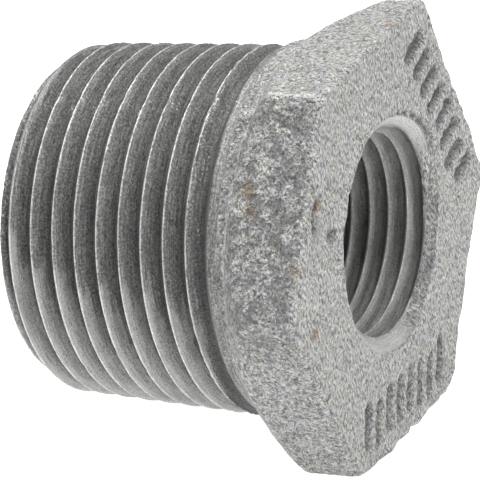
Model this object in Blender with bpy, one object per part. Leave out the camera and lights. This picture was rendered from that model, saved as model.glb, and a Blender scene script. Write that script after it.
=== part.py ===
"""Hexagon reducing bushing: 1 in NPT thread outside, 1/2 in NPT thread inside.

The bushing is one casting in malleable iron, with a tapered pipe thread cut on its shank and another
in its bore, and it has no loose or moving pieces.  +X runs along its axis, out of the hexagon's face
and away from the male end.  Two of the hexagon's flats face +Z and -Z, so two of its corners point
along +Y and -Y.  The origin is on the axis, midway between the two ends.

The surface is built as columns, one for each angle round the axis.  A column is the outline that a cut
at that angle shows: along the outside from the male end to the hexagon, across the face, and back
through the bore.  The threads climb from one column to the next, so each point has a label, and two
neighbouring columns are joined label by label.
"""

import math
from typing import NamedTuple

import bmesh
import bpy

# Driving dimensions, in millimetres.  Every x is measured along the axis from the origin.
MM = 0.001
LENGTH = 31.4
FACE_X = LENGTH / 2
MALE_END_X = -LENGTH / 2

HEX_FLATS = 37.5
HEX_CORNERS = 42.8            # across the corners, which the casting leaves a little blunt
HEX_SIDES = 6

COLLAR_RADIUS = 17.1
THREAD_STOP_X = FACE_X - 9.9
COLLAR_X = FACE_X - 9.7
CONE_X = FACE_X - 8.6
CONE_SLOPE = 1.28             # radius gained for each millimetre along the axis

RUN_OUT = 1.9                 # length over which the outer thread fades out before the collar
LEAD_IN_RADIUS = 15.0         # outer edge of the male end, well below the crests
LEAD_IN_SLOPE = 1.0

MOUTH_RADIUS = 10.6           # 45 degree countersink at the female end
FEMALE_DEPTH = 17.0
FEMALE_RUN_OUT = 3.6
BORE_RADIUS = 8.55
BORE_LIP = 1.0                # 45 degree chamfer where the bore opens at the male end

# Pipe threads to ASME B1.20.1: 60 degree form, 1 in 16 taper on the diameter.
TAPER = 1 / 32                # radius gained for each millimetre towards the hexagon
HALF_FLAT = 0.019             # half width of a crest or root flat, as a share of the pitch

# Angles round the axis, in degrees from one hexagon corner, that each side is divided at.
SIDE_ANGLES = (0, 3, 11, 20, 30, 40, 49, 57)

NODE_NAME = "bushing_body"
IRON_COLOUR = (0.40, 0.41, 0.38, 1.0)
IRON_ROUGHNESS = 0.62
IRON_METALLIC = 0.55
SHARP_ANGLE = math.radians(25)


class Thread(NamedTuple):
    """A right-hand tapered thread, given by its crest cone."""

    name: str
    pitch: float
    datum_x: float            # where the crest cone has crest_radius
    crest_radius: float
    depth: float              # from crest to root, negative towards the axis
    crest_x: float            # where a crest crosses the +Y side


MALE = Thread("male", 25.4 / 11.5, MALE_END_X, 16.26, -1.767, FACE_X - 2.07)
FEMALE = Thread("female", 25.4 / 14, FACE_X, 9.16, 1.451, FACE_X - 0.48)


def clamp(value, low=0.0, high=1.0):
    return max(low, min(high, value))


def column_angles():
    """Angles of all the columns, in degrees from +Y towards +Z; +Y and -Y hold a corner each."""
    side = 360 / HEX_SIDES
    return [side * k + step for k in range(HEX_SIDES) for step in SIDE_ANGLES]


def hexagon_radius(angle):
    """Distance from the axis to the hexagon's outline, with its corners cut blunt."""
    side = 360 / HEX_SIDES
    from_flat = (angle % side) - side / 2
    to_flat = HEX_FLATS / 2 / math.cos(math.radians(from_flat))
    return min(to_flat, HEX_CORNERS / 2)


def cone_x(radius):
    """Where the cone behind the hexagon reaches a radius."""
    return CONE_X + (radius - COLLAR_RADIUS) / CONE_SLOPE


def thread_radius(thread, x, angle, fade=1.0):
    """Radius of the threaded surface; fade is the share of the full depth left in a run-out."""
    turns = (x - thread.crest_x) / thread.pitch - angle / 360
    from_crest = 2 * min(turns % 1, -turns % 1)
    flank = clamp((from_crest - 2 * HALF_FLAT) / (1 - 4 * HALF_FLAT))
    crest = thread.crest_radius + TAPER * (x - thread.datum_x)
    return crest + thread.depth * fade * flank


def thread_stations(thread, angle, low_x, high_x):
    """Labels and x values of the flats' edges between two ends, in order of rising x."""
    edges = (HALF_FLAT, 0.5 - HALF_FLAT, 0.5 + HALF_FLAT, 1 - HALF_FLAT)
    start_x = thread.crest_x + thread.pitch * angle / 360
    first = math.floor((low_x - start_x) / thread.pitch)
    last = math.ceil((high_x - start_x) / thread.pitch)
    margin = 0.03
    stations = []
    for turn in range(first, last + 1):
        for edge, share in enumerate(edges):
            x = start_x + thread.pitch * (turn + share)
            if low_x + margin < x < high_x - margin:
                stations.append(((thread.name, turn * len(edges) + edge), x))
    return stations


def male_radius(x, angle):
    """The shank: the thread, cut down by the lead-in at one end and fading out at the other."""
    fade = clamp((THREAD_STOP_X - x) / RUN_OUT)
    lead_in = LEAD_IN_RADIUS + LEAD_IN_SLOPE * (x - MALE_END_X)
    return min(thread_radius(MALE, x, angle, fade), lead_in)


def female_radius(x, angle):
    """The bore: the thread, opened by the countersink and fading out in the depth."""
    fade = clamp((x - FACE_X + FEMALE_DEPTH) / FEMALE_RUN_OUT)
    countersink = MOUTH_RADIUS - (FACE_X - x)
    return max(thread_radius(FEMALE, x, angle, fade), countersink, BORE_RADIUS)


def column(angle):
    """The closed outline at one angle, as (label, x, radius) from the male end round to the bore."""
    hexagon = hexagon_radius(angle)
    female_stop_x = FACE_X - FEMALE_DEPTH
    points = [("male_rim", MALE_END_X, LEAD_IN_RADIUS)]
    for label, x in thread_stations(MALE, angle, MALE_END_X, THREAD_STOP_X):
        points.append((label, x, male_radius(x, angle)))
    points += [
        ("thread_stop", THREAD_STOP_X, male_radius(THREAD_STOP_X, angle)),
        ("collar_start", COLLAR_X, COLLAR_RADIUS),
        ("collar_end", CONE_X, COLLAR_RADIUS),
        ("hexagon_back", cone_x(hexagon), hexagon),
        ("hexagon_front", FACE_X, hexagon),
        ("mouth", FACE_X, MOUTH_RADIUS),
    ]
    for label, x in reversed(thread_stations(FEMALE, angle, female_stop_x, FACE_X)):
        points.append((label, x, female_radius(x, angle)))
    points += [
        ("bore_start", female_stop_x, BORE_RADIUS),
        ("bore_end", MALE_END_X + BORE_LIP, BORE_RADIUS),
        ("bore_lip", MALE_END_X, BORE_RADIUS + BORE_LIP),
    ]
    return points


def add_column(bm, angle):
    """Make a column's vertices and return them as (label, vertex) pairs."""
    turn = math.radians(angle)
    pairs = []
    for label, x, radius in column(angle):
        place = (x * MM, radius * math.cos(turn) * MM, radius * math.sin(turn) * MM)
        pairs.append((label, bm.verts.new(place)))
    return pairs


def next_turn(pairs):
    """Relabel the first column as it is met again after one full turn of the threads."""
    edges_per_turn = 4
    relabelled = []
    for label, vertex in pairs:
        if isinstance(label, tuple):
            label = (label[0], label[1] - edges_per_turn)
        relabelled.append((label, vertex))
    return relabelled


def join_columns(bm, left, right):
    """Fill the strip between two closed columns with quads, and triangles where a label starts or ends."""
    left = left + left[:1]
    right = right + right[:1]
    left_labels = {label for label, _ in left}
    right_labels = {label for label, _ in right}
    i = j = 0
    while i < len(left) - 1 or j < len(right) - 1:
        left_only = i < len(left) - 1 and left[i + 1][0] not in right_labels
        right_only = j < len(right) - 1 and right[j + 1][0] not in left_labels
        if left_only:
            bm.faces.new((left[i][1], left[i + 1][1], right[j][1]))
            i += 1
        elif right_only:
            bm.faces.new((left[i][1], right[j + 1][1], right[j][1]))
            j += 1
        else:
            bm.faces.new((left[i][1], left[i + 1][1], right[j + 1][1], right[j][1]))
            i += 1
            j += 1


def build_mesh():
    bm = bmesh.new()
    columns = [add_column(bm, angle) for angle in column_angles()]
    for left, right in zip(columns, columns[1:]):
        join_columns(bm, left, right)
    join_columns(bm, columns[-1], next_turn(columns[0]))
    bmesh.ops.recalc_face_normals(bm, faces=bm.faces)
    mesh = bpy.data.meshes.new(NODE_NAME)
    bm.to_mesh(mesh)
    bm.free()
    return mesh


def iron_material():
    material = bpy.data.materials.new("galvanised_iron")
    material.use_nodes = True
    shader = material.node_tree.nodes["Principled BSDF"]
    shader.inputs["Base Color"].default_value = IRON_COLOUR
    shader.inputs["Roughness"].default_value = IRON_ROUGHNESS
    shader.inputs["Metallic"].default_value = IRON_METALLIC
    return material


def clear_scene():
    for obj in list(bpy.data.objects):
        bpy.data.objects.remove(obj, do_unlink=True)


def main():
    clear_scene()
    mesh = build_mesh()
    mesh.materials.append(iron_material())
    mesh.shade_smooth()
    mesh.set_sharp_from_angle(angle=SHARP_ANGLE)
    bushing = bpy.data.objects.new(NODE_NAME, mesh)
    bpy.context.scene.collection.objects.link(bushing)


main()
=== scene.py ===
"""Looks of the hexagon reducing bushing: a grainy galvanised casting with two cut pipe threads.

The CAD solid is replaced by one finely divided closed mesh in the same place, a little irregular as a
casting is.  It is built as columns, one for each angle round the X axis, and neighbouring columns are
joined label by label so that the threads can climb from one to the next.  The bushing's lengths are
millimetres until its mesh is written, and the floor and the lights are in metres.
"""

import math
from typing import NamedTuple

import bpy
import numpy as np
from mathutils import Matrix, Vector, noise


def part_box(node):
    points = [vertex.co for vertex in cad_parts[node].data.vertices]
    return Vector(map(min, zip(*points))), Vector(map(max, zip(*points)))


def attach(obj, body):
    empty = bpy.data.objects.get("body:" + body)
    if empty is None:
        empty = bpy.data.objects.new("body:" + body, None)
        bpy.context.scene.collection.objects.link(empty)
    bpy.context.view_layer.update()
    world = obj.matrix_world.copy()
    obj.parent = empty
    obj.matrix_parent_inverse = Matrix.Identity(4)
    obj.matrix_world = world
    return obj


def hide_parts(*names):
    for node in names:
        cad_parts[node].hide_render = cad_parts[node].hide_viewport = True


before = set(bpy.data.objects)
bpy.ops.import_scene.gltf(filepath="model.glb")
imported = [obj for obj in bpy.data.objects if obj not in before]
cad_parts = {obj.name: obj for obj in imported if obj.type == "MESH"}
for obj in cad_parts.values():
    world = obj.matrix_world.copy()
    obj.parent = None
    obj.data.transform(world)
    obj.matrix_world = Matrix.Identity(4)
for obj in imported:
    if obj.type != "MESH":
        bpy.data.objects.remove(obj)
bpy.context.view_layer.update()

MM = 0.001
CAD_NODE = "bushing_body"
CAD_LOW, CAD_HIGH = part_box(CAD_NODE)
FACE_X = CAD_HIGH.x / MM
MALE_END_X = CAD_LOW.x / MM

# Head, as cast: each corner of the hexagon as (degrees from +Y towards +Z, distance from the axis).
CORNERS = (
    (-2.3, 22.4),
    (58.6, 21.8),
    (125.4, 20.25),
    (181.0, 21.45),
    (239.6, 21.9),
    (299.7, 21.7),
)
BENDS = ((29.0, 19.25), (88.0, 18.1), (270.0, 19.4))    # where a side of the hexagon bulges
OUTLINE = sorted(CORNERS + BENDS)
CORNER_BLEND = 0.32           # how softly two flats run into each other
COLLAR_RADIUS = 17.15
THREAD_STOP_X = FACE_X - 9.15
STOP_SETBACK = 0.7            # the thread stops this much further from the face ...
STOP_LOW_SIDE = 262.0         # ... on this side, in degrees ...
STOP_LOW_SPREAD = 28.0        # ... and half as much this many degrees away
COLLAR_STEP = 0.3             # length of the step from the thread up to the collar
CONE_X = FACE_X - 8.25        # where the cone behind the hexagon starts
CONE_SLOPE = 1.28             # radius gained for each millimetre along the axis
CONE_LEAN = 0.8               # the cone starts this much nearer the face ...
CONE_HIGH_SIDE = 80.0         # ... on this side, in degrees, and further away opposite
FACE_EDGE_ROUND = 0.35        # setback of the rounded edge of the face
FACE_EDGE_WORN = 0.4          # how much more it is set back ...
WORN_SIDE = 182.0             # ... on this side, in degrees
FACE_DEPTH = 0.4              # what lies nearer the face than this counts as part of it

# Plain grooves cast along two edges of the face: the normals of those edges in degrees, then the sizes.
GROOVED_EDGES = (29.5, 268.2)
GROOVE_PITCH = 2.4
GROOVES_EACH_SIDE = 4         # of the middle of the edge
GROOVE_WIDTH = 1.2
GROOVE_DEPTH = 0.6
GROOVE_SLANT = 0.2            # sideways travel of a groove for each millimetre away from the edge
GROOVE_BAND = (1.7, 6.0)      # distances from the edge where the grooves start and end
# A short fold in the casting beside the bore, as (y, z, half its width), and a dent (y, z, size) below it.
FOLD = ((-14.4, 8.3, 0.3), (-15.3, 7.4, 0.5), (-15.7, 6.2, 0.4))
DENT = (-12.5, 4.4, 0.5)

# Marks, each a layer on the mesh from 0 to 1 or a little more, and where they lie.
MARKS = ("stain", "rust", "shaded_hollow", "scuffs", "clean_and_lit", "rubbed_highlight", "inside")
STAIN_START = 125.0           # a darker, rougher side of the casting, from here ...
STAIN_END = 205.0             # ... to here, in degrees
HIGHLIGHT_CORNER = 124.2         # the corner above the stained side gets a painted highlight, as if rubbed bright
SEAM_ANGLE = 119.3            # a line of scuffs along the threads, in degrees
CLEAN_AND_LIT_SIDE = 232.0            # the cut metal is lightest here, cleaner and with painted light from below, in degrees
FLAKY_SIDE = 138.0            # the last crests are flaky here, in degrees
TOP_SIDE = 88.0               # the dirt and painted root shade lie more evenly here, in degrees
LAST_TURN = 2.6               # length of the dull, torn last turn before the thread stops
# Each spot is a place (distance behind the face, y, z) and a size.
RUST_SPOTS = (((5.8, -16.1, 9.5), 0.75), ((5.5, -16.9, 8.0), 0.7), ((5.5, -13.3, 14.7), 0.5),
              ((0.0, -14.3, 7.8), 0.6), ((0.2, -19.2, 3.7), 0.45), ((0.1, -17.2, -2.6), 0.55),
              ((0.5, 4.4, 18.2), 0.5), ((5.6, -13.7, -14.4), 0.3), ((29.1, -9.9, 13.0), 0.25),
              ((0.0, 11.0, -1.9), 0.35), ((4.0, 14.0, -14.0), 0.6), ((3.0, 18.2, 6.0), 0.5))
CREST_NICKS = (((20.6, -3.7, 16.2), 0.4), ((18.5, -4.2, 16.1), 0.35), ((18.4, -2.5, 16.5), 0.35),
               ((12.2, -8.1, 14.8), 0.45), ((16.8, -8.2, 14.5), 0.3), ((25.6, -13.6, -9.2), 0.45),
               ((19.3, 4.6, -16.0), 0.5), ((14.0, 15.8, 5.7), 0.45))

# Thread ends and bore.
RUN_OUT = 2.6                 # length over which the male thread fades out before its stop ...
RUN_OUT_LEFT = 0.10           # ... and the share of its depth that is left there
MALE_END_LEAN = 0.2           # like the lean of the crests, for the male end
LEAD_IN_RADIUS = 14.95        # outer edge of the male end, well below the crests
LEAD_IN_SLOPE = 0.7           # radius gained for each millimetre from the male end
MOUTH_RADIUS = 10.6           # outer edge of the countersink, which is broken away wider ...
MOUTH_BREAK = 1.0             # ... by this much ...
MOUTH_BREAK_SIDE = 25.0       # ... here, in degrees ...
MOUTH_BREAK_SPREAD = 26.0     # ... and by half as much this many degrees away
COUNTERSINK_DEPTH = 0.95
LIP_RADIUS = 9.6              # inner edge of the countersink
ROUGH_SIDE = -25.0            # degrees: the countersink is left rough here and cut clean opposite
PITTED_SIDE = 48.0            # degrees: its edge is pitted here
UNDERCUT_SLOPE = 3.0          # how fast the thread opens out behind the lip, for each millimetre
FEMALE_DEPTH = 17.0
FEMALE_RUN_OUT = 3.6
BORE_RADIUS = 8.55
BORE_LIP = 1.0                # 45 degree chamfer where the bore opens at the male end
CREST_REACH = 0.25            # how far from a crest the crest's mark fades out
TAPER = 1 / 32                # radius gained for each millimetre towards the hexagon
THREAD_DROP = 0.008           # drop of the male thread's axis for each millimetre towards the head

COLUMNS = 328                 # in one turn round the axis

# Colours, as linear red, green and blue, and ramps of (tone, colour).
CAST_TONES = ((0.34, (0.12, 0.12, 0.12)), (0.45, (0.36, 0.36, 0.355)),
              (0.55, (0.52, 0.52, 0.51)), (0.70, (0.68, 0.68, 0.67)))
BLUISH_TINT = (0.985, 0.985, 1.01)
YELLOWISH_TINT = (0.995, 1.0, 0.94)
RUST_TINT = (0.84, 0.68, 0.53)
CAST_PATCH = (0.17, 0.17, 0.172)
CAST_STAIN = (0.12, 0.12, 0.122)
CAST_HOLLOW_SHADE = (0.13, 0.13, 0.13)
CAST_PIT_SHADE = (0.08, 0.08, 0.08)
CAST_RUBBED_HIGHLIGHT = (0.80, 0.80, 0.77)
DARK_CUT_TONES = ((0.38, (0.07, 0.07, 0.068)), (0.49, (0.19, 0.19, 0.185)), (0.60, (0.42, 0.42, 0.41)))
# The light cut tones are cleaner metal with painted light on them.
CLEAN_AND_LIT_CUT_TONES = ((0.38, (0.13, 0.13, 0.13)), (0.43, (0.33, 0.33, 0.322)), (0.60, (0.58, 0.58, 0.565)))
CUT_SMUDGE = (0.16, 0.16, 0.165)
CUT_FLANK_HIGHLIGHT = (0.66, 0.66, 0.64)
CUT_SCRATCH = (0.09, 0.09, 0.088)
CUT_GRIME_AND_SHADE = (0.03, 0.03, 0.03)
CUT_RUST = (0.38, 0.25, 0.12)
BORE_CREST_HIGHLIGHT = (0.70, 0.70, 0.68)
CREST_METAL_HIGHLIGHT = (0.76, 0.76, 0.735)

# The table is half this wide, in metres, and glows enough to look white.
FLOOR_REACH = 3.0
FLOOR_GLOW = 0.96

# Camera, in millimetres and degrees.
CAMERA_PLACE = Vector((117.15, -226.6, 87.82))
CAMERA_FORWARD = Vector((-0.4318, 0.8393, -0.3304))
CAMERA_ROLL = -5.82
CAMERA_LENS = 222.4           # focal length


class Thread(NamedTuple):
    """A right-hand tapered thread, given by its crest cone."""

    name: str
    pitch: float
    datum_x: float
    crest_radius: float       # at datum_x
    depth: float              # from crest to root, negative towards the axis
    crest_x: float            # where a crest would cross the +Y side if it did not lean
    lean: float               # how far the crests lean: none on the -Y side and twice this on the +Y side
    shares: tuple             # places of the points along one pitch, from a crest to the next


MALE = Thread("male", 25.4 / 11.5, MALE_END_X, 16.18, -1.767, FACE_X - 2.07, 0.4,
              (0.0, 0.025, 0.065, 0.18, 0.32, 0.45, 0.5, 0.55, 0.68, 0.82, 0.935, 0.975))
FEMALE = Thread("female", 25.4 / 14, FACE_X, 9.16, 1.451, FACE_X - 0.48, 0.0,
                (0.0, 0.05, 0.25, 0.45, 0.55, 0.75, 0.9, 0.95))


class Point(NamedTuple):
    """A place on a column: x and radius, how rough as cast, how bright with wear and painted highlight, and
    how dirty and darkened with painted shade.
    """

    label: object
    x: float
    radius: float
    cast: float
    wear_and_highlight: float
    grime_and_shade: float


def clamp(value, low=0.0, high=1.0):
    return max(low, min(high, value))


def smoothstep(value):
    value = clamp(value)
    return value * value * (3 - 2 * value)


def bell(distance, size):
    """1 at no distance, falling smoothly to 0 at twice the size."""
    return smoothstep(1 - distance / (2 * size))


def turned_by(here):
    """Degrees round the axis from +Y towards +Z."""
    return math.degrees(math.atan2(here.z, here.y)) % 360


def angle_between(a, b):
    return abs((a - b + 180) % 360 - 180)


def side_share(angle, middle, spread, reach):
    """1 on the side round the middle angle, falling to 0 at reach times the spread away from it."""
    return smoothstep(reach - angle_between(angle, middle) / spread)


def column_angles():
    """Angles round the axis in degrees, closer together round the hexagon's corners."""
    fine = np.linspace(0, 360, 3601)
    density = np.ones_like(fine)
    for angle, _ in CORNERS:
        away = (fine - angle + 180) % 360 - 180
        density += 1.6 * np.exp(-(away / 3.0) ** 2)
    total = np.concatenate([[0], np.cumsum((density[1:] + density[:-1]) / 2)])
    return np.interp(np.linspace(0, total[-1], COLUMNS + 1)[:-1], total, fine)


def hexagon_radius(angle):
    """Distance from the axis to the outline of the cast hexagon."""
    here = math.radians(angle)
    ray = (math.cos(here), math.sin(here))
    softened = 0.0
    for k, (angle_a, radius_a) in enumerate(OUTLINE):
        angle_b, radius_b = OUTLINE[(k + 1) % len(OUTLINE)]
        ay, az = radius_a * math.cos(math.radians(angle_a)), radius_a * math.sin(math.radians(angle_a))
        by, bz = radius_b * math.cos(math.radians(angle_b)), radius_b * math.sin(math.radians(angle_b))
        normal = (bz - az, ay - by)
        length = math.hypot(*normal)
        apothem = (normal[0] * ay + normal[1] * az) / length
        facing = (normal[0] * ray[0] + normal[1] * ray[1]) / length
        if facing > 0.2:
            softened += math.exp(-apothem / facing / CORNER_BLEND)
    return -CORNER_BLEND * math.log(softened)


def crest_at(thread, angle):
    """Where a crest crosses this side."""
    return thread.crest_x + thread.pitch * angle / 360 + thread.lean * (1 + math.cos(math.radians(angle)))


def ridge(thread, x, angle):
    """0 on a crest and 1 in a root, with both rounded."""
    turns = (x - crest_at(thread, angle)) / thread.pitch
    from_crest = 2 * min(turns % 1, -turns % 1)
    flat, rounding = 0.03, 0.08
    if from_crest < rounding:
        return max(0.0, from_crest - flat) ** 2 / (2 * (rounding - flat)) / (1 - flat - rounding / 2)
    straight = (from_crest - (flat + rounding) / 2) / (1 - flat - rounding / 2)
    return min(straight, 1 - 0.35 * max(0.0, straight - 0.93))


def thread_radius(thread, x, angle, fade):
    """Radius of the threaded surface; fade is the share of the full depth left in a run-out."""
    crest = thread.crest_radius + TAPER * (x - thread.datum_x)
    return crest + thread.depth * fade * clamp(ridge(thread, x, angle))


def thread_stations(thread, angle, low_x, high_x):
    """Labels and x values of a column's points on a thread, in order of rising x."""
    start_x = crest_at(thread, angle)
    first = math.floor((low_x - start_x) / thread.pitch)
    last = math.ceil((high_x - start_x) / thread.pitch)
    margin = 0.02
    stations = []
    for turn in range(first, last + 1):
        for k, share in enumerate(thread.shares):
            x = start_x + thread.pitch * (turn + share)
            if low_x + margin < x < high_x - margin:
                stations.append(((thread.name, turn * len(thread.shares) + k), x))
    return stations


def near_crest(thread, x, angle):
    """1 on a crest, falling to 0 a fixed distance from it on either side."""
    turns = (x - crest_at(thread, angle)) / thread.pitch
    return clamp(1 - thread.pitch * min(turns % 1, -turns % 1) / CREST_REACH)


def thread_stop_at(angle):
    """Where the male thread stops on this side."""
    return THREAD_STOP_X - STOP_SETBACK * bell(angle_between(angle, STOP_LOW_SIDE), STOP_LOW_SPREAD)


def male_end_at(angle):
    """Where the male end's face is on this side."""
    return MALE_END_X + MALE_END_LEAN * (1 + math.cos(math.radians(angle)))


def mouth_radius(angle):
    """Outer edge of the countersink on this side."""
    return MOUTH_RADIUS + MOUTH_BREAK * bell(angle_between(angle, MOUTH_BREAK_SIDE), MOUTH_BREAK_SPREAD)


def male_grime_and_shade(x, angle, fade):
    """How dark the male thread is with dirt and painted shade: down in its roots, evened out on top, and in
    the dull last turn.
    """
    from_stop = thread_stop_at(angle) - x
    depth = clamp(ridge(MALE, x, angle)) * fade
    depth += 0.55 * side_share(angle, TOP_SIDE, 25, 1.4) * (0.45 - depth)
    in_last_turn = smoothstep((LAST_TURN - from_stop) / 0.5)
    in_lighter_ring = smoothstep((1.0 - from_stop) / 0.4)
    return max(depth, in_last_turn * (0.95 - 0.8 * in_lighter_ring))


def male_point(label, x, angle):
    """A point on the male thread, cut down by the lead-in at one end and fading out at the other."""
    fade = RUN_OUT_LEFT + (1 - RUN_OUT_LEFT) * smoothstep((thread_stop_at(angle) - x) / RUN_OUT)
    from_end = x - male_end_at(angle)
    lead_in = LEAD_IN_RADIUS + LEAD_IN_SLOPE * from_end
    full = thread_radius(MALE, x, angle, fade)
    radius = min(full, lead_in) - THREAD_DROP * (x - MALE_END_X) * math.sin(math.radians(angle))
    wear_and_highlight = near_crest(MALE, x, angle) * smoothstep((fade - 0.2) / 0.3)
    trimmed = max(smoothstep((full - lead_in) / 0.06), smoothstep((0.8 - from_end) / 0.4))
    return Point(label, x, radius, 0.0, max(wear_and_highlight, 0.62 * trimmed), male_grime_and_shade(x, angle, fade))


def female_point(label, x, angle):
    """A point in the bore: on the countersink, or on the female thread behind its lip."""
    fade = clamp((x - FACE_X + FEMALE_DEPTH) / FEMALE_RUN_OUT)
    inside = FACE_X - x
    if inside < COUNTERSINK_DEPTH:
        mouth = mouth_radius(angle)
        radius = mouth + (LIP_RADIUS - mouth) * inside / COUNTERSINK_DEPTH
        rough = side_share(angle, ROUGH_SIDE, 45, 1.6)
        return Point(label, x, radius, 0.25 + 0.6 * rough, 0.0, 0.0)
    widest = LIP_RADIUS + UNDERCUT_SLOPE * (inside - COUNTERSINK_DEPTH)
    threaded = max(min(thread_radius(FEMALE, x, angle, fade), widest), BORE_RADIUS)
    depth = clamp(ridge(FEMALE, x, angle))
    # Dirt and painted shade: down in the roots, and strongest in the first turns behind the lip.
    grime_and_shade = max(0.62 * depth * fade, 0.9 * smoothstep((3.3 - inside) / 1.6))
    wear_and_highlight = max(near_crest(FEMALE, x, angle), bell(inside - COUNTERSINK_DEPTH, 0.1))
    return Point(label, x, threaded, 0.0, 0.95 * wear_and_highlight, grime_and_shade)


def rounded(points, radii, steps, counts):
    """A polyline in (x, radius) with its inner corners rounded, as points numbered the same way each time.

    radii, steps: setback and number of points of each inner corner; counts: points inside each straight.
    """
    points = [Vector(p) for p in points]
    path = []
    start = points[0]
    for k, count in enumerate(counts):
        end = points[k + 1]
        setback = 0.0
        if k < len(radii):
            setback = min(radii[k], 0.45 * (end - points[k]).length, 0.45 * (points[k + 2] - end).length)
        stop = end + (points[k] - end).normalized() * setback
        path += [start.lerp(stop, i / count) for i in range(count)]
        if k < len(radii):
            leave = end + (points[k + 2] - end).normalized() * setback
            for i in range(steps[k]):
                t = i / steps[k]
                path.append(stop.lerp(end, t).lerp(end.lerp(leave, t), t))
            start = leave
    path.append(points[-1])
    return path


def cone_start(angle):
    """Where the cone behind the hexagon starts on this side."""
    return CONE_X + CONE_LEAN * math.cos(math.radians(angle - CONE_HIGH_SIDE))


def head_points(angle):
    """From the collar over the cone, the flat and the face to the edge of the countersink."""
    hexagon = hexagon_radius(angle)
    cone_x = cone_start(angle)
    turn = math.radians(angle)
    ragged = 0.16 * noise.noise(Vector((math.cos(turn), math.sin(turn), 0)) * 9)
    outline = [
        (thread_stop_at(angle) + COLLAR_STEP + ragged, COLLAR_RADIUS),
        (cone_x, COLLAR_RADIUS),
        (cone_x + (hexagon - COLLAR_RADIUS) / CONE_SLOPE, hexagon),
        (FACE_X, hexagon),
        (FACE_X, mouth_radius(angle)),
    ]
    face_edge = FACE_EDGE_ROUND + FACE_EDGE_WORN * side_share(angle, WORN_SIDE, 60, 1.3)
    path = rounded(outline, (0.9, 0.8, face_edge), (5, 5, 6), (3, 8, 18, 40))
    return [Point(("head", k), x, radius, 1.0, 0.0, 0.0) for k, (x, radius) in enumerate(path)]


def column(angle):
    """The closed outline at one angle, from the male end round the outside and back through the bore."""
    female_stop_x = FACE_X - FEMALE_DEPTH
    male_end_x = male_end_at(angle)
    stop_x = thread_stop_at(angle)
    points = [male_point("male_rim", male_end_x, angle)]
    points += [male_point(label, x, angle) for label, x in
               thread_stations(MALE, angle, male_end_x, stop_x)]
    points.append(male_point("thread_stop", stop_x, angle))
    points += head_points(angle)
    points += [female_point(label, x, angle) for label, x in
               reversed(thread_stations(FEMALE, angle, female_stop_x, FACE_X))]
    bore = [(female_stop_x, BORE_RADIUS), (male_end_x + BORE_LIP, BORE_RADIUS),
            (male_end_x, BORE_RADIUS + BORE_LIP), (male_end_x, LEAD_IN_RADIUS)]
    path = rounded(bore, (0.4, 0.3), (2, 2), (6, 2, 10))[:-1]
    # The plain bore is darkened a little with dirt and painted shade.
    points += [Point(("bore", k), x, radius, 0.6, 0.0, 0.3) for k, (x, radius) in enumerate(path)]
    return points


def join_columns(faces, left, right):
    """Fill the strip between two closed columns of (label, vertex number).

    The strip has quads, and triangles where a label starts or ends.
    """
    left = left + left[:1]
    right = right + right[:1]
    left_labels = {label for label, _ in left}
    right_labels = {label for label, _ in right}
    i = j = 0
    while i < len(left) - 1 or j < len(right) - 1:
        if i < len(left) - 1 and left[i + 1][0] not in right_labels:
            faces.append((left[i][1], right[j][1], left[i + 1][1]))
            i += 1
        elif j < len(right) - 1 and right[j + 1][0] not in left_labels:
            faces.append((left[i][1], right[j][1], right[j + 1][1]))
            j += 1
        else:
            faces.append((left[i][1], right[j][1], right[j + 1][1], left[i + 1][1]))
            i += 1
            j += 1


def next_turn(pairs):
    """Relabel the first column as the last one meets it, one full turn of each thread further on."""
    turn_length = {thread.name: len(thread.shares) for thread in (MALE, FEMALE)}
    relabelled = []
    for label, number in pairs:
        if label[0] in turn_length:
            label = (label[0], label[1] - turn_length[label[0]])
        relabelled.append((label, number))
    return relabelled


def build_body():
    """The bushing's ideal surface as an object, with its cast layer, its layer of wear and painted
    highlight, and its layer of grime and painted shade.
    """
    places, layers, columns = [], [], []
    for angle in column_angles():
        turn = math.radians(angle)
        pairs = []
        for point in column(angle):
            pairs.append((point.label, len(places)))
            places.append((point.x, point.radius * math.cos(turn), point.radius * math.sin(turn)))
            layers.append((point.cast, point.wear_and_highlight, point.grime_and_shade))
        columns.append(pairs)
    faces = []
    for left, right in zip(columns, columns[1:]):
        join_columns(faces, left, right)
    join_columns(faces, columns[-1], next_turn(columns[0]))
    mesh = bpy.data.meshes.new("bushing")
    mesh.from_pydata(places, [], faces)
    for name, values in zip(("cast", "wear_and_highlight", "grime_and_shade"), np.array(layers, np.float32).T):
        write_layer(mesh, name, values)
    body = bpy.data.objects.new("bushing", mesh)
    bpy.context.scene.collection.objects.link(body)
    return body


def read_layer(mesh, name):
    values = np.zeros(len(mesh.vertices))
    mesh.attributes[name].data.foreach_get("value", values)
    return values


def write_layer(mesh, name, values):
    layer = mesh.attributes.new(name, "FLOAT", "POINT")
    layer.data.foreach_set("value", np.ascontiguousarray(values, np.float32))


def spots_at(here, spots):
    """How strongly a place belongs to any of the round spots."""
    strongest = 0.0
    for (behind, y, z), size in spots:
        away = (here - Vector((FACE_X - behind, y, z))).length
        strongest = max(strongest, bell(away, size))
    return strongest


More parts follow.
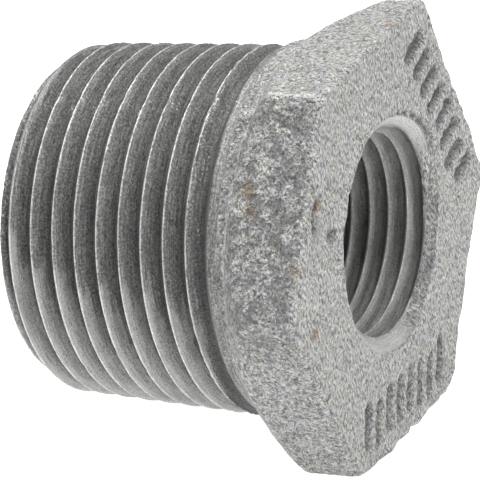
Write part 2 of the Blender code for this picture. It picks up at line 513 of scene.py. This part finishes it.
def groove_share(here):
    """On the face: 1 in the middle of one of the plain grooves, 0 between them.

    The grooves are straight bars with round ends, each with its own length and width.
    """
    deepest = 0.0
    for edge_angle in GROOVED_EDGES:
        turn = math.radians(edge_angle)
        from_edge = hexagon_radius(edge_angle) - here.y * math.cos(turn) - here.z * math.sin(turn)
        along = here.z * math.cos(turn) - here.y * math.sin(turn)
        along += 0.12 * noise.noise(here / 0.9) - GROOVE_SLANT * (from_edge - GROOVE_BAND[0])
        number = math.floor(along / GROOVE_PITCH)
        if -GROOVES_EACH_SIDE <= number < GROOVES_EACH_SIDE:
            own = noise.noise(Vector((number * 3.7, edge_angle, 0.5)))
            width = GROOVE_WIDTH * (1 + 0.25 * own + 0.3 * noise.noise(here / 1.3 + Vector((5, 5, 5))))
            middle = (number + 0.5) * GROOVE_PITCH
            past_end = max(GROOVE_BAND[0] + own + width / 2 - from_edge,
                           from_edge - GROOVE_BAND[1] - own + width / 2, 0.0)
            inward = width / 2 + 0.15 - math.hypot(along - middle, past_end)
            deepest = max(deepest, smoothstep(inward / 0.3))
    return deepest


def mouth_edge(here, angle):
    """Round the edge of the countersink: how dark and pitted it is, with painted shade, and its painted
    highlight.
    """
    ring = bell(abs(math.hypot(here.y, here.z) - mouth_radius(angle) - 0.2), 0.25)
    pitted = side_share(angle, PITTED_SIDE, 24, 1.6) * smoothstep(noise.noise(here / 0.5) * 3 + 0.9)
    bright = side_share(angle, ROUGH_SIDE, 32, 1.6) * smoothstep(noise.noise(here / 1.5) * 3 + 0.6)
    return ring * pitted, ring * bright


def fold_share(here):
    """1 along the short fold in the casting beside the bore, and in the dent below it."""
    y, z, size = DENT
    deepest = bell((here - Vector((FACE_X, y, z))).length + 0.5 * noise.noise(here / 0.7), size)
    for (y_a, z_a, width_a), (y_b, z_b, width_b) in zip(FOLD, FOLD[1:]):
        start, end = Vector((FACE_X, y_a, z_a)), Vector((FACE_X, y_b, z_b))
        share = clamp((here - start).dot(end - start) / (end - start).length_squared)
        away = (here - start.lerp(end, share)).length + 0.5 * noise.noise(here / 0.7)
        deepest = max(deepest, bell(away, width_a + share * (width_b - width_a)))
    return deepest * (0.75 + 0.6 * noise.noise(here / 0.9))


def cast_shift(here, stain):
    """Outward movement of the casting's surface: swells, lumps, grain and pits."""
    swell = 0.12 * noise.noise(here / 6.0)
    lumps = (0.07 + 0.09 * stain) * noise.noise(here / 1.5 + Vector((9, 3, 5)))
    grain = (0.05 + 0.05 * stain) * noise.noise(here / 0.62 + Vector((1, 7, 2)))
    pit = (0.14 + 0.10 * stain) * smoothstep((noise.noise(here + Vector((4, 4, 8))) - 0.34) / 0.3)
    return swell + lumps + grain - pit


def edge_shift(here, angle):
    """Outward movement of the edge round the face, which came out of the mould a little uneven."""
    from_corner = hexagon_radius(angle) - math.hypot(here.y, here.z)
    near_edge = smoothstep((here.x - FACE_X + 1.4) / 1.0) * smoothstep((1.6 - from_corner) / 1.0)
    return 0.24 * near_edge * noise.noise(here / 1.6 + Vector((3, 8, 1)))


def crest_shift(here, angle):
    """Outward movement of the crests, mostly below 0: small nicks, a few deep ones, and tears."""
    small = 0.05 * smoothstep((noise.noise(here / 0.9 + Vector((2, 5, 1))) - 0.25) / 0.3)
    seam = 0.10 * bell(angle_between(angle, SEAM_ANGLE), 1.6)
    last_turn = smoothstep((here.x - thread_stop_at(angle) + LAST_TURN + 2) / 0.8)
    torn = last_turn * 0.10 * smoothstep((noise.noise(here / 0.55 + Vector((6, 1, 3))) + 0.05) / 0.4)
    rim = 0.05 * smoothstep((MALE_END_X + 2 - here.x) / 0.5) * noise.noise(here / 0.6)
    return rim - small - seam - torn - 0.22 * spots_at(here, CREST_NICKS)


def scuffs_at(here, angle):
    """How scuffed a place on the male thread is: along the seam, and flaky beside the upper last crests."""
    seam = 0.7 * bell(angle_between(angle, SEAM_ANGLE), 1.8)
    past_crest = (here.x - crest_at(MALE, angle)) % MALE.pitch
    from_stop = thread_stop_at(angle) - here.x
    last_turns = smoothstep((LAST_TURN + 2.4 - from_stop) / 2.0) * smoothstep((from_stop - 1.0) / 0.4)
    two_lines = max(bell(abs(past_crest - 0.15), 0.16), 0.8 * bell(abs(past_crest - 0.8), 0.14))
    return max(seam, last_turns * side_share(angle, FLAKY_SIDE, 28, 1.5) * two_lines)


def clean_and_lit_share(here, angle):
    """How light the cut metal is, cleaner and with painted light: lightest low on the male thread and on
    the countersink.
    """
    if math.hypot(here.y, here.z) < mouth_radius(angle):
        return 0.75 if here.x > FACE_X - COUNTERSINK_DEPTH else 0.5
    reach = 1.45 + 0.25 * smoothstep((MALE_END_X + 7 - here.x) / 5)
    lower_side = side_share(angle, CLEAN_AND_LIT_SIDE, 48, reach)
    return lower_side * (1 - smoothstep((here.x - thread_stop_at(angle) + LAST_TURN) / 0.5))


def behind_face(here):
    """0 on the face and 1 a little behind it."""
    return smoothstep((FACE_X - 0.2 - here.x) / 0.9)


def stain_at(here, angle):
    """How stained a place on the outside of the casting is."""
    stain = behind_face(here) * smoothstep((angle - STAIN_START) / 3) * smoothstep((STAIN_END - angle) / 30)
    return stain * (0.7 + 0.3 * smoothstep((here.x - CONE_X) / 1.5))


def rubbed_highlight_at(here, angle):
    """Painted highlight on the outside of the casting, as if rubbed bright: on the corner that faces up to
    the light, and where the cone starts.
    """
    corner = bell(angle_between(angle, HIGHLIGHT_CORNER), 0.8) * smoothstep((here.x - FACE_X + 6.0) / 1.2)
    ring = 0.65 * bell(abs(here.x - cone_start(angle) - 0.15), 0.3)
    return behind_face(here) * max(corner, ring)


def cast_marks(here, angle, from_mouth, cast):
    """How far a place on the casting moves outwards, and its marks."""
    stain = stain_at(here, angle)
    rubbed_highlight = rubbed_highlight_at(here, angle)
    shaded_hollow = dent = 0.0
    if from_mouth < 0:
        stain = 0.6 * side_share(angle, ROUGH_SIDE, 40, 1.6)
    if here.x > FACE_X - FACE_DEPTH and from_mouth > 0.6:
        shaded_hollow = max(groove_share(here), fold_share(here))
        dent = GROOVE_DEPTH * shaded_hollow
    elif here.x > FACE_X - FACE_DEPTH:
        pitted, rubbed_highlight = mouth_edge(here, angle)
        shaded_hollow = 1.3 * pitted
        dent = 0.3 * pitted
    shift = cast * (cast_shift(here, stain) + edge_shift(here, angle)) - dent
    return shift, {"stain": stain, "rubbed_highlight": rubbed_highlight, "shaded_hollow": shaded_hollow}


def marks_at(here, cast, wear_and_highlight):
    """How far one place on the surface moves outwards, and those of its marks that aren't 0."""
    angle = turned_by(here)
    from_mouth = math.hypot(here.y, here.z) - mouth_radius(angle)
    marks = {"clean_and_lit": clean_and_lit_share(here, angle), "inside": from_mouth < 0}
    shift = 0.0
    if from_mouth > 0:
        marks["rust"] = spots_at(here, RUST_SPOTS)
    if cast > 0:
        shift, of_the_casting = cast_marks(here, angle, from_mouth, cast)
        marks.update(of_the_casting)
    elif from_mouth > 0 and here.x < thread_stop_at(angle):
        shift = wear_and_highlight * crest_shift(here, angle)
        marks["scuffs"] = scuffs_at(here, angle)
    return shift, marks


def roughen(body):
    """Move the surface along its normals, and write its marks as layers."""
    mesh = body.data
    count = len(mesh.vertices)
    place = np.zeros(count * 3)
    normal = np.zeros(count * 3)
    mesh.vertices.foreach_get("co", place)
    mesh.vertices.foreach_get("normal", normal)
    place = place.reshape(-1, 3)
    normal = normal.reshape(-1, 3)
    cast = read_layer(mesh, "cast")
    wear_and_highlight = read_layer(mesh, "wear_and_highlight")
    shift = np.zeros(count)
    layers = {name: np.zeros(count) for name in MARKS}
    for k in range(count):
        shift[k], marks = marks_at(Vector(place[k]), cast[k], wear_and_highlight[k])
        for name, value in marks.items():
            layers[name][k] = value
    for name, values in layers.items():
        write_layer(mesh, name, values)
    place = (place + normal * shift[:, None]) * MM
    mesh.vertices.foreach_set("co", place.astype(np.float32).ravel())
    mesh.update()


class Graph:
    """Short forms for building a material's nodes."""

    def __init__(self, name):
        self.material = bpy.data.materials.new(name)
        self.material.use_nodes = True
        self.tree = self.material.node_tree
        self.shader = self.tree.nodes["Principled BSDF"]

    def node(self, kind, inputs=None, **settings):
        made = self.tree.nodes.new(kind)
        for key, value in settings.items():
            setattr(made, key, value)
        for key, value in (inputs or {}).items():
            self.put(made.inputs[key], value)
        return made

    def put(self, socket, value):
        if isinstance(value, bpy.types.NodeSocket):
            self.tree.links.new(value, socket)
        else:
            socket.default_value = value

    def math(self, operation, a, b=0.0):
        return self.node("ShaderNodeMath", {0: a, 1: b}, operation=operation).outputs[0]

    def plus(self, a, b):
        return self.math("ADD", a, b)

    def minus(self, a, b):
        return self.math("SUBTRACT", a, b)

    def times(self, a, b):
        return self.math("MULTIPLY", a, b)

    def noise(self, vector, scale, detail, rough):
        inputs = {"Vector": vector, "Scale": scale, "Detail": detail, "Roughness": rough}
        return self.node("ShaderNodeTexNoise", inputs).outputs["Fac"]

    def step(self, value, low, high):
        """A smooth step from 0 below low to 1 above high."""
        inputs = {"Value": value, "From Min": low, "From Max": high}
        return self.node("ShaderNodeMapRange", inputs, interpolation_type="SMOOTHSTEP").outputs["Result"]

    def span(self, value, low, high, to_low, to_high):
        """A straight slope from to_low at low to to_high at high, and level beyond them."""
        inputs = {"Value": value, "From Min": low, "From Max": high, "To Min": to_low, "To Max": to_high}
        return self.node("ShaderNodeMapRange", inputs).outputs["Result"]

    def mix(self, share, a, b):
        """The colour a where the share is 0, and b where it is 1."""
        made = self.tree.nodes.new("ShaderNodeMix")
        made.data_type = "RGBA"
        self.put(made.inputs[0], share)
        self.put(made.inputs[6], a)
        self.put(made.inputs[7], b)
        return made.outputs[2]

    def paint(self, share, colour, over):
        """A plain colour laid over another by a share."""
        return self.mix(share, colour, (*over, 1.0))

    def blend(self, share, a, b):
        """Like mix, for numbers."""
        made = self.tree.nodes.new("ShaderNodeMix")
        made.data_type = "FLOAT"
        self.put(made.inputs[0], share)
        self.put(made.inputs[2], a)
        self.put(made.inputs[3], b)
        return made.outputs[0]

    def tint(self, colour, by):
        """A colour multiplied by another."""
        made = self.tree.nodes.new("ShaderNodeMix")
        made.data_type = "RGBA"
        made.blend_type = "MULTIPLY"
        self.put(made.inputs[0], 1.0)
        self.put(made.inputs[6], colour)
        self.put(made.inputs[7], (*by, 1.0))
        return made.outputs[2]

    def ramp(self, value, stops):
        made = self.node("ShaderNodeValToRGB", {"Fac": value})
        elements = made.color_ramp.elements
        while len(elements) < len(stops):
            elements.new(0.5)
        for element, (place, colour) in zip(elements, stops):
            element.position = place
            element.color = (*colour, 1.0)
        return made.outputs["Color"]

    def layer(self, name):
        """One of the mesh's own layers, by its name."""
        return self.node("ShaderNodeAttribute", attribute_name=name).outputs["Fac"]


def squiggles(g, place, scale, width):
    """Thin wandering lines: 1 on them, 0 away from them."""
    level = g.noise(place, scale, 2.0, 0.6)
    return g.step(g.math("ABSOLUTE", g.minus(level, 0.5)), width, 0.0)


def painted_relief(g, place, scale, reach):
    """Painted light on the side of each grain that faces up, and painted shade on the other: -1 to 1,
    mostly within 0.3.
    """
    above = g.node("ShaderNodeVectorMath", {0: place, 1: reach}, operation="ADD").outputs[0]
    below = g.node("ShaderNodeVectorMath", {0: place, 1: reach}, operation="SUBTRACT").outputs[0]
    return g.minus(g.noise(below, scale, 1.5, 0.8), g.noise(above, scale, 1.5, 0.8))


def pits_and_lines(g, place, grain):
    """Pits and thin lines in the casting's skin, painted dark as shade."""
    lines = g.times(squiggles(g, place, 2.4, 0.05), g.step(grain, 0.46, 0.54))
    pits = g.step(g.noise(place, 2.3, 1.0, 0.5), 0.61, 0.67)
    return g.math("MAXIMUM", g.times(lines, 0.7), g.times(pits, 0.65))


def sandy_colour(g, in_mm, place, grain, fine):
    """Light and dark grains with painted light and shade on them, bluish in some patches and yellowish in
    others.
    """
    tone = g.plus(g.times(grain, 0.65), g.times(fine, 0.35))
    shading = g.times(painted_relief(g, place, 3.0, (0.0, 0.05, 0.09)), g.blend(g.layer("stain"), 0.45, 0.5))
    colour = g.ramp(g.plus(tone, shading), CAST_TONES)
    yellow = g.step(g.noise(in_mm, 0.8, 3.0, 0.7), 0.40, 0.60)
    return g.mix(yellow, g.tint(colour, BLUISH_TINT), g.tint(colour, YELLOWISH_TINT))


def darkened(g, in_mm, colour, lump, pits):
    """The casting's colour with its dull patches, the stained side, and painted shade in the hollows and
    the pits.
    """
    patch = g.noise(in_mm, 0.30, 4.0, 0.6)
    colour = g.paint(g.times(g.step(patch, 0.52, 0.68), 0.2), colour, CAST_PATCH)
    blotch = g.plus(g.times(lump, 0.6), g.times(g.noise(in_mm, 0.55, 2.0, 0.5), 0.4))
    stained = g.times(g.layer("stain"), g.times(g.step(blotch, 0.44, 0.54), 0.63))
    colour = g.paint(stained, colour, CAST_STAIN)
    # Painted shade in the grooves, the fold, the pitted edge of the countersink and the pits.
    colour = g.paint(g.times(g.layer("shaded_hollow"), 0.75), colour, CAST_HOLLOW_SHADE)
    return g.paint(pits, colour, CAST_PIT_SHADE)


def rubbed_highlight_and_rust(g, colour, grain, lump):
    """The casting's colour with its painted highlights, as if rubbed bright, and its rust spots, both
    ragged.
    """
    rubbed_highlight = g.step(g.plus(g.layer("rubbed_highlight"), g.times(g.minus(grain, 0.5), 2.0)), 0.3, 1.0)
    colour = g.paint(g.times(rubbed_highlight, 0.5), colour, CAST_RUBBED_HIGHLIGHT)
    rust = g.layer("rust")
    ragged = g.step(g.plus(rust, g.times(g.minus(lump, 0.5), 1.8)), 0.25, 0.75)
    ragged = g.times(ragged, g.step(rust, 0.02, 0.2))
    return g.mix(g.times(ragged, 0.95), colour, g.tint(colour, RUST_TINT))


def cast_look(g, in_mm):
    """Colour and height of the sandy galvanised casting, its grain and its finest grain."""
    place = g.node("ShaderNodeVectorMath", {0: in_mm, 1: (1.0, 1.15, 0.7)}, operation="MULTIPLY").outputs[0]
    grain = g.noise(place, 3.4, 1.5, 0.8)
    fine = g.noise(place, 8.0, 1.0, 0.6)
    lump = g.noise(in_mm, 1.15, 3.0, 0.7)
    pits = pits_and_lines(g, place, grain)
    colour = sandy_colour(g, in_mm, place, grain, fine)
    colour = darkened(g, in_mm, colour, lump, pits)
    colour = rubbed_highlight_and_rust(g, colour, grain, lump)
    height = g.plus(g.times(grain, 0.40), g.times(fine, 0.05))
    height = g.minus(height, g.times(pits, 0.16))
    stained_lumps = g.times(g.times(g.layer("stain"), lump), 0.9)
    return colour, g.minus(height, stained_lumps), grain, fine


def round_the_axis(g, in_mm, along, around):
    """A noise drawn out round the X axis: fine across, and slow along the tool's path."""
    split = g.node("ShaderNodeSeparateXYZ", {0: in_mm}).outputs
    radius = g.math("SQRT", g.plus(g.math("POWER", split[1], 2.0), g.math("POWER", split[2], 2.0)))
    cosine = g.math("DIVIDE", split[1], radius)
    sine = g.math("DIVIDE", split[2], radius)
    place = g.node("ShaderNodeCombineXYZ", {0: g.times(split[0], along), 1: g.times(radius, along),
                                            2: g.times(cosine, around)}).outputs[0]
    inputs = {"Vector": place, "W": g.times(sine, around), "Scale": 1.0, "Detail": 3.0, "Roughness": 0.6}
    return g.node("ShaderNodeTexNoise", inputs, noise_dimensions="4D").outputs["Fac"]


def clean_and_lit_parts(g, in_mm, outside):
    """1 where the cut metal is light, cleaner and with painted light, and 0 where it is dark, with smeared
    edges between them.
    """
    clean_and_lit = g.layer("clean_and_lit")
    patch = g.noise(in_mm, 0.42, 4.0, 0.65)
    smear = round_the_axis(g, in_mm, 2.0, 2.5)
    uneven = g.plus(g.minus(patch, 0.5), g.times(g.minus(smear, 0.5), 1.6))
    # Painted light above the roots, near the crests, on the lighter side.
    above_root = g.times(g.minus(0.45, g.layer("grime_and_shade")), g.times(clean_and_lit, outside))
    uneven = g.plus(g.times(uneven, g.blend(outside, 0.25, 1.0)), above_root)
    return g.step(g.plus(clean_and_lit, uneven), 0.33, 0.67)


def flank_colour(g, in_mm, streak, grain, outside):
    """Light and dark cut metal with smudges, a painted highlight on the flanks next to the crests, and
    scratches, before the dirt and painted shade.
    """
    tone = g.minus(g.blend(g.blend(outside, 0.5, 0.6), streak, grain), 0.49)
    tone = g.plus(g.times(tone, g.blend(outside, 0.75, 1.0)), 0.49)
    is_clean_and_lit = clean_and_lit_parts(g, in_mm, outside)
    smudge = g.times(g.step(round_the_axis(g, in_mm, 0.9, 3.5), 0.50, 0.60), outside)
    light = g.paint(g.times(smudge, 0.35), g.ramp(tone, CLEAN_AND_LIT_CUT_TONES), CUT_SMUDGE)
    colour = g.mix(is_clean_and_lit, g.ramp(tone, DARK_CUT_TONES), light)
    # Painted highlight on the flanks next to the crests, strongest on the lighter side.
    flank_highlight = g.times(g.times(g.step(g.layer("grime_and_shade"), 0.5, 0.05), outside), g.blend(is_clean_and_lit, 0.06, 0.36))
    colour = g.paint(flank_highlight, colour, CUT_FLANK_HIGHLIGHT)
    scratches = g.times(g.step(round_the_axis(g, in_mm, 4.5, 1.5), 0.50, 0.42), outside)
    return g.paint(g.times(scratches, 0.22), colour, CUT_SCRATCH)


def bright_metal_and_highlight(g, in_mm, grain):
    """1 where the metal is bare: on worn crests, which also carry a painted highlight, broken up, and in
    the flakes of scuffed places.
    """
    coarse = g.noise(in_mm, 1.3, 2.0, 0.6)
    breaks = g.plus(g.times(g.minus(grain, 0.5), 0.9), g.times(g.minus(coarse, 0.5), 0.7))
    crests = g.step(g.plus(g.layer("wear_and_highlight"), breaks), 0.62, 0.98)
    scuffs = g.layer("scuffs")
    torn = g.plus(g.times(grain, 0.5), g.times(round_the_axis(g, in_mm, 3.2, 4.0), 0.5))
    flakes = g.step(g.plus(g.times(scuffs, 0.10), torn), 0.61, 0.68)
    return g.math("MAXIMUM", crests, g.times(flakes, g.step(scuffs, 0.1, 0.5)))


def cut_look(g, in_mm):
    """Colour, height and metallic share of the cut threads, with tool marks that run round the axis."""
    grime_and_shade = g.layer("grime_and_shade")
    outside = g.minus(1.0, g.layer("inside"))
    streak = round_the_axis(g, in_mm, 8.0, 6.0)
    grain = g.noise(in_mm, 5.0, 2.0, 0.8)
    colour = flank_colour(g, in_mm, streak, grain, outside)
    # Dirt and painted shade, darkest down in the roots.
    shade = g.plus(g.times(grime_and_shade, 0.5), g.times(g.step(grime_and_shade, 0.72, 1.0), 0.25))
    colour = g.paint(shade, colour, CUT_GRIME_AND_SHADE)
    # Painted highlight on the bore's flanks beside each crest.
    beside_crest_highlight = g.times(g.times(g.layer("wear_and_highlight"), 0.3), g.layer("inside"))
    colour = g.paint(beside_crest_highlight, colour, BORE_CREST_HIGHLIGHT)
    # Worn bare crests, painted near-white as a highlight as well.
    bright = bright_metal_and_highlight(g, in_mm, grain)
    colour = g.paint(g.times(bright, 0.75), colour, CREST_METAL_HIGHLIGHT)
    rust = g.step(g.plus(g.layer("rust"), g.minus(grain, 0.5)), 0.3, 0.7)
    colour = g.paint(g.times(rust, 0.7), colour, CUT_RUST)
    height = g.plus(g.times(streak, 0.04), g.times(grain, 0.09))
    return colour, height, g.span(bright, 0.0, 1.0, 0.25, 0.7)


def iron_material():
    """Sandy galvanised casting where the cast layer is 1, and dull cut iron where it is 0."""
    g = Graph("galvanised_iron")
    place = g.node("ShaderNodeTexCoord").outputs["Object"]
    in_mm = g.node("ShaderNodeVectorMath", {0: place, "Scale": 1 / MM}, operation="SCALE").outputs[0]
    cast_colour, cast_height, cast_grain, fleck = cast_look(g, in_mm)
    cut_colour, cut_height, cut_metal = cut_look(g, in_mm)

    ragged_cast = g.plus(g.layer("cast"), g.times(g.minus(fleck, 0.5), 0.5))
    is_cast = g.step(ragged_cast, 0.35, 0.65)
    g.put(g.shader.inputs["Base Color"], g.mix(is_cast, cut_colour, cast_colour))
    g.put(g.shader.inputs["Metallic"], g.blend(is_cast, cut_metal, 0.1))
    cast_rough = g.span(cast_grain, 0.3, 0.7, 0.5, 0.8)
    g.put(g.shader.inputs["Roughness"], g.blend(is_cast, 0.5, cast_rough))
    height = g.blend(is_cast, cut_height, cast_height)
    bump = g.node("ShaderNodeBump", {"Strength": 1.0, "Distance": MM, "Height": height})
    g.put(g.shader.inputs["Normal"], bump.outputs["Normal"])
    return g.material


def make_bushing():
    body = build_body()
    roughen(body)
    body.data.materials.append(iron_material())
    body.data.shade_smooth()
    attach(body, "root")
    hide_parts(CAD_NODE)
    return body


def make_floor(lowest):
    """A softly lit pale table that touches the lowest point of the object."""
    mesh = bpy.data.meshes.new("floor")
    corners = [(FLOOR_REACH * x, FLOOR_REACH * y, 0) for x, y in ((-1, -1), (1, -1), (1, 1), (-1, 1))]
    mesh.from_pydata(corners, [], [(0, 1, 2, 3)])
    floor = bpy.data.objects.new("floor", mesh)
    floor.location.z = lowest
    bpy.context.scene.collection.objects.link(floor)
    g = Graph("floor_white")
    g.put(g.shader.inputs["Base Color"], (0.45, 0.45, 0.45, 1))
    g.put(g.shader.inputs["Roughness"], 0.9)
    g.put(g.shader.inputs["Specular IOR Level"], 0.2)
    g.put(g.shader.inputs["Emission Color"], (1, 1, 1, 1))
    g.put(g.shader.inputs["Emission Strength"], FLOOR_GLOW)
    mesh.materials.append(g.material)


def add_light(name, place, size, power):
    """A square softbox that faces the origin; its place and size are in metres."""
    data = bpy.data.lights.new(name, "AREA")
    data.shape = "SQUARE"
    data.size = size
    data.energy = power
    light = bpy.data.objects.new(name, data)
    light.location = place
    light.rotation_euler = (-Vector(place)).to_track_quat("-Z", "Y").to_euler()
    bpy.context.scene.collection.objects.link(light)


def make_world():
    """White where the camera looks past the floor, and dim as a light beside the softboxes."""
    world = bpy.data.worlds.new("studio")
    world.use_nodes = True
    tree = world.node_tree
    shown = tree.nodes["Background"]
    shown.inputs["Color"].default_value = (1, 1, 1, 1)
    shown.inputs["Strength"].default_value = 1.0
    lighting = tree.nodes.new("ShaderNodeBackground")
    lighting.inputs["Color"].default_value = (1, 1, 1, 1)
    lighting.inputs["Strength"].default_value = 0.08
    seen = tree.nodes.new("ShaderNodeLightPath")
    mixed = tree.nodes.new("ShaderNodeMixShader")
    tree.links.new(seen.outputs["Is Camera Ray"], mixed.inputs[0])
    tree.links.new(lighting.outputs[0], mixed.inputs[1])
    tree.links.new(shown.outputs[0], mixed.inputs[2])
    tree.links.new(mixed.outputs[0], tree.nodes["World Output"].inputs["Surface"])
    bpy.context.scene.world = world


def make_studio():
    make_world()
    add_light("overhead", (0.04, 0.02, 0.60), 0.80, 9.0)
    add_light("right", (0.60, 0.05, 0.20), 0.20, 0.8)
    add_light("left", (-0.45, -0.22, 0.22), 0.25, 0.75)


def make_camera():
    data = bpy.data.cameras.new("camera")
    data.sensor_width = 36
    data.lens = CAMERA_LENS
    data.clip_start = 0.01
    data.clip_end = 20
    camera = bpy.data.objects.new("camera", data)
    turn = CAMERA_FORWARD.to_track_quat("-Z", "Y").to_matrix().to_4x4()
    roll = Matrix.Rotation(math.radians(CAMERA_ROLL), 4, "Z")
    camera.matrix_world = Matrix.Translation(CAMERA_PLACE * MM) @ turn @ roll
    bpy.context.scene.collection.objects.link(camera)
    bpy.context.scene.camera = camera
    bpy.context.scene.view_settings.view_transform = "Standard"


make_camera()
bushing = make_bushing()
make_floor(min(vertex.co.z for vertex in bushing.data.vertices))
make_studio()
